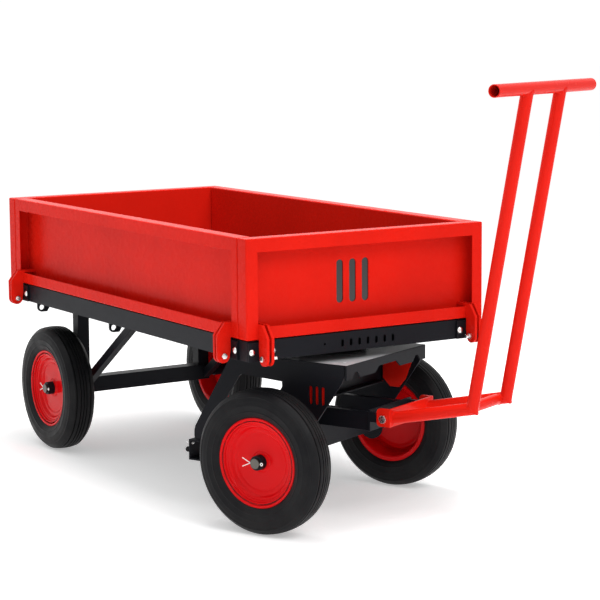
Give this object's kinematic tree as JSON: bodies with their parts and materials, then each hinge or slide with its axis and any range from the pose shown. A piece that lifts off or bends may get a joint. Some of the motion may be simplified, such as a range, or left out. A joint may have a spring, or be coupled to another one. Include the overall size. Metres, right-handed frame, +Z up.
{
  "type": "garden cart",
  "caption": "Four-wheel turntable trailer with a steel deck, drop-down red side panels, a steered front bogie and a T-bar handle.",
  "frame": {"origin": "centre of the load floor's top face", "axes": "+X forward to the handle end, +Y the trailer's left, +Z up; the ground is at z = -0.541 m"},
  "size_m": [2.1189, 0.9597, 1.223],
  "materials": {
    "frame_black": "satin black powder coat",
    "floor_black": "satin black powder coat on sheet steel",
    "gloss_black": "gloss black paint",
    "panel_red": "semi-gloss red powder coat",
    "handle_red": "semi-gloss red powder coat",
    "wheel_red": "gloss red paint",
    "zinc": "bright zinc plate",
    "dark_steel": "plain turned steel, darkened",
    "tyre": "moulded black rubber",
    "rubber": "moulded black rubber",
    "bush": "black nylon"
  },
  "bodies": {
    "chassis": {"deck_frame": "frame_black", "cross_members": "frame_black", "floor_plate": "floor_black", "hinge_brackets": "frame_black", "bracket_bolts": "zinc", "hinge_pins": "zinc", "lashing_eyes": "frame_black", "turntable_mount_plate": "frame_black", "upper_race": "frame_black", "king_bolt": "zinc", "rear_legs": "frame_black", "rear_braces": "frame_black", "rear_axle_beam": "frame_black", "rear_axle": "dark_steel", "rear_axle_spacers": "frame_black", "rear_axle_washers": "frame_black", "rear_split_pins": "zinc"},
    "front_gate": {"front_panel": "panel_red", "front_panel_hinges": "panel_red", "front_backing_plate": "gloss_black"},
    "rear_gate": {"rear_panel": "panel_red", "rear_panel_hinges": "panel_red"},
    "right_gate": {"right_panel": "panel_red", "right_panel_hinges": "panel_red"},
    "left_gate": {"left_panel": "panel_red", "left_panel_hinges": "panel_red"},
    "bogie": {"bogie_top_plate": "frame_black", "lower_race": "frame_black", "bogie_side_right": "frame_black", "bogie_side_left": "frame_black", "bogie_backing_plates": "panel_red", "bogie_diaphragms": "frame_black", "front_axle_saddle": "frame_black", "front_axle": "dark_steel", "front_axle_spacers": "frame_black", "front_axle_washers": "frame_black", "front_split_pins": "zinc", "drawbar_arms": "frame_black", "drawbar_bracket": "frame_black", "rear_cross_channel": "frame_black", "channel_buffers": "rubber", "channel_bolts": "zinc", "yoke_pivot_bolts": "zinc"},
    "handle": {"yoke": "handle_red", "handle_lower_arms": "handle_red", "handle_uprights": "handle_red", "handle_cross_tube": "handle_red", "t_bar": "handle_red"},
    "front_right_wheel": {"front_right_tyre": "tyre", "front_right_rim": "wheel_red", "front_right_bushes": "bush"},
    "front_left_wheel": {"front_left_tyre": "tyre", "front_left_rim": "wheel_red", "front_left_bushes": "bush"},
    "rear_right_wheel": {"rear_right_tyre": "tyre", "rear_right_rim": "wheel_red", "rear_right_bushes": "bush"},
    "rear_left_wheel": {"rear_left_tyre": "tyre", "rear_left_rim": "wheel_red", "rear_left_bushes": "bush"}
  },
  "joints": [
    {"name": "fold_front", "type": "hinge", "parent": "chassis", "child": "front_gate", "pos_m": [0.788, 0, -0.048], "axis": [0, 1, 0], "range_deg": [0, 55]},
    {"name": "fold_rear", "type": "hinge", "parent": "chassis", "child": "rear_gate", "pos_m": [-0.788, 0, -0.048], "axis": [0, -1, 0], "range_deg": [0, 175]},
    {"name": "fold_right", "type": "hinge", "parent": "chassis", "child": "right_gate", "pos_m": [0, -0.4155, -0.048], "axis": [1, 0, 0], "range_deg": [0, 175]},
    {"name": "fold_left", "type": "hinge", "parent": "chassis", "child": "left_gate", "pos_m": [0, 0.4155, -0.048], "axis": [-1, 0, 0], "range_deg": [0, 175]},
    {"name": "steer", "type": "hinge", "parent": "chassis", "child": "bogie", "pos_m": [0.5796, 0, -0.083], "axis": [0, 0, 1], "range_deg": [-113.8, 66.2]},
    {"name": "handle_pitch", "type": "hinge", "parent": "bogie", "child": "handle", "pos_m": [0.8001, 0.09725, -0.239], "axis": [-0.4035, 0.915, 0], "range_deg": [0, 60]},
    {"name": "spin_front_right", "type": "hinge", "parent": "bogie", "child": "front_right_wheel", "pos_m": [0.71721, -0.312, -0.341], "axis": [-0.4035, 0.915, 0], "continuous": true},
    {"name": "spin_front_left", "type": "hinge", "parent": "bogie", "child": "front_left_wheel", "pos_m": [0.44199, 0.312, -0.341], "axis": [-0.4035, 0.915, 0], "continuous": true},
    {"name": "spin_rear_right", "type": "hinge", "parent": "chassis", "child": "rear_right_wheel", "pos_m": [-0.586, -0.3136, -0.341], "axis": [0, 1, 0], "continuous": true},
    {"name": "spin_rear_left", "type": "hinge", "parent": "chassis", "child": "rear_left_wheel", "pos_m": [-0.586, 0.3136, -0.341], "axis": [0, 1, 0], "continuous": true}
  ]
}
